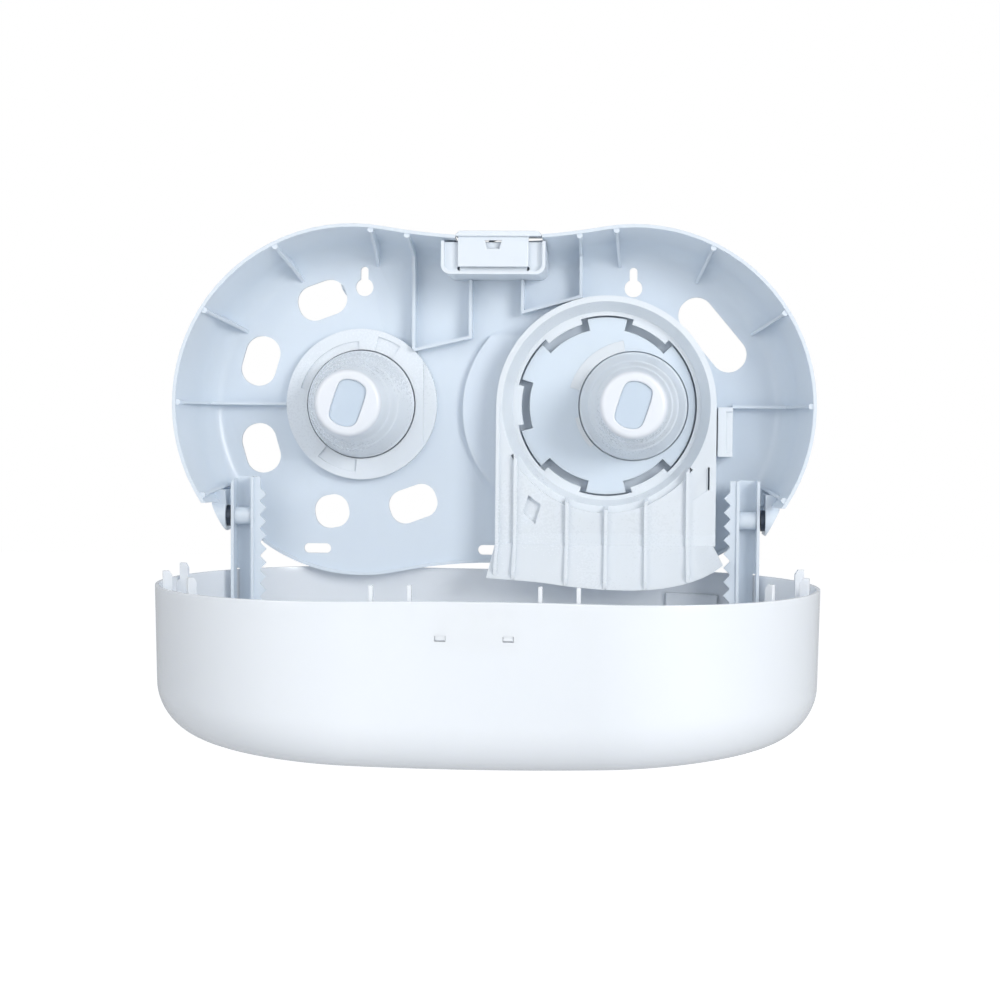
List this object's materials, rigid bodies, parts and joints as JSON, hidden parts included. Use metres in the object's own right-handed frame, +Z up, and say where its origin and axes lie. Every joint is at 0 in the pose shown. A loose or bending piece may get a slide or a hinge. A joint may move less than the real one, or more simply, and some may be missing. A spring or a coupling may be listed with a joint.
{
  "type": "twin jumbo toilet roll dispenser",
  "caption": "Wall-hung twin jumbo toilet roll dispenser with two roll spindles, a turret, a ribbed paper guide, toothed arms and a deep hinged cover that hangs open.",
  "frame": {"origin": "on the wall face, halfway between the two hubs and at their height", "axes": "+Z up, the front faces -Y, +X to the right seen from the front"},
  "size_m": [0.42, 0.2375, 0.3379],
  "materials": {
    "cover": "gloss",
    "tray": "satin gloss",
    "white": "satin",
    "steel": "dull"
  },
  "bodies": {
    "case": {"rear_tray": "tray", "left_hub_flange": "tray", "left_spindle_post": "tray", "left_nose_cap": "white", "left_post_screws": "steel", "flange_screws": "steel", "paper_guide": "tray", "paper_guide_screws": "steel", "guide_clip": "tray", "lock_housing": "tray", "lock_spring": "steel", "lock_screws": "steel", "hinge_pin_left": "steel", "hinge_pin_right": "steel"},
    "cover": {"cover_shell": "cover", "catch_plate": "cover", "cover_arm_left": "tray", "cover_arm_right": "tray", "hinge_bush_left": "tray", "hinge_bush_right": "tray", "arm_screws": "steel"},
    "left_spool": {"left_spindle_cone": "tray"},
    "turret": {"turret_disc": "tray", "right_spindle_post": "tray", "right_nose_cap": "white", "right_post_screws": "steel"},
    "right_spool": {"right_spindle_cone": "tray"},
    "latch": {"lock_latch": "white"}
  },
  "joints": [
    {"name": "cover_hinge", "type": "hinge", "parent": "case", "child": "cover", "pos_m": [0, -0.046, -0.0755], "axis": [-1, 0, 0], "range_deg": [0, 91.4]},
    {"name": "left_spindle_spin", "type": "hinge", "parent": "case", "child": "left_spool", "pos_m": [-0.092, -0.06, 0], "axis": [0, -1, 0], "continuous": true},
    {"name": "turret_turn", "type": "hinge", "parent": "case", "child": "turret", "pos_m": [0.074, -0.02, 0], "axis": [0, -1, 0], "range_deg": [0, 180]},
    {"name": "right_spindle_spin", "type": "hinge", "parent": "turret", "child": "right_spool", "pos_m": [0.092, -0.06, 0], "axis": [0, -1, 0], "continuous": true},
    {"name": "lock_press", "type": "slide", "parent": "case", "child": "latch", "axis": [0, 0, -1], "range_m": [0, 0.0025], "stiffness_N_per_m": 600, "springref_m": -0.004, "deforming": ["lock_spring"]}
  ]
}
